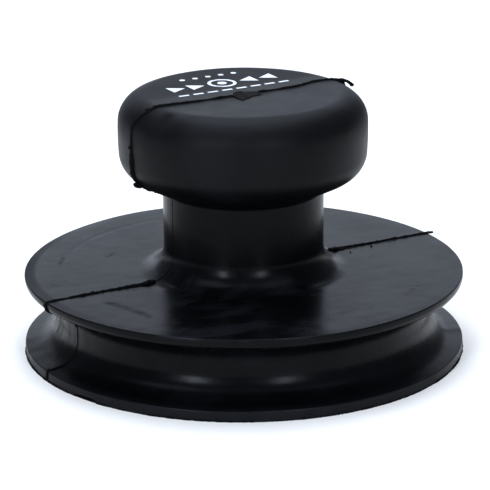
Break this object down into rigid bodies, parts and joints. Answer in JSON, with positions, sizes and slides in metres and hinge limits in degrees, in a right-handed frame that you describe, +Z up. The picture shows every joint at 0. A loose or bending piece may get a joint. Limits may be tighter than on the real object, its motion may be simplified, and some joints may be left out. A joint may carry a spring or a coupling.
{
  "type": "sink plunger",
  "caption": "Hand plunger moulded in black rubber: round grip knob on a short neck above a wide bell with a waisted wall between two flanges, for clearing sinks by hand.",
  "frame": {"origin": "on the round body's axis, in the plane that the rim rests and seals on", "axes": "+Z up along the body's axis from the rim to the knob; +X to the right and +Y to the back, with the mould's parting plane 29.3 degrees from +X towards +Y"},
  "size_m": [0.121, 0.121, 0.0723],
  "materials": {
    "black_rubber": "satin",
    "knob_rubber": "satin",
    "torn_rubber": "matte",
    "white_print": "matte"
  },
  "bodies": {
    "rim": {"lower_flange": "black_rubber", "sealing_lip": "black_rubber", "bell_wall": "black_rubber", "rim_burr": "torn_rubber", "rim_flash": "torn_rubber", "waist_flash": "torn_rubber"},
    "bell": {"bell_crown": "black_rubber", "upper_flange": "black_rubber", "flange_flash": "torn_rubber"},
    "root": {"neck_root": "black_rubber", "root_flash": "torn_rubber"},
    "grip": {"neck": "black_rubber", "knob": "knob_rubber", "neck_flash": "torn_rubber", "knob_flash": "torn_rubber", "gate_vestige": "torn_rubber", "printed_icons": "white_print", "printed_marks": "white_print"}
  },
  "joints": [
    {"name": "press", "type": "slide", "parent": "rim", "child": "bell", "axis": [0, 0, -1], "range_m": [-0.002, 0.008], "stiffness_N_per_m": 8000, "springref_m": -0.00025, "deforming": ["bell_wall", "waist_flash"]},
    {"name": "rock_fore_aft", "type": "hinge", "parent": "bell", "child": "root", "pos_m": [0, 0, 0.0258], "axis": [1, 0, 0], "range_deg": [-6, 6], "stiffness_Nm_per_rad": 12, "deforming": ["neck_root", "root_flash"]},
    {"name": "rock_sideways", "type": "hinge", "parent": "root", "child": "grip", "pos_m": [0, 0, 0.0258], "axis": [0, 1, 0], "range_deg": [-6, 6], "stiffness_Nm_per_rad": 12, "deforming": ["neck_root", "root_flash"]}
  ]
}
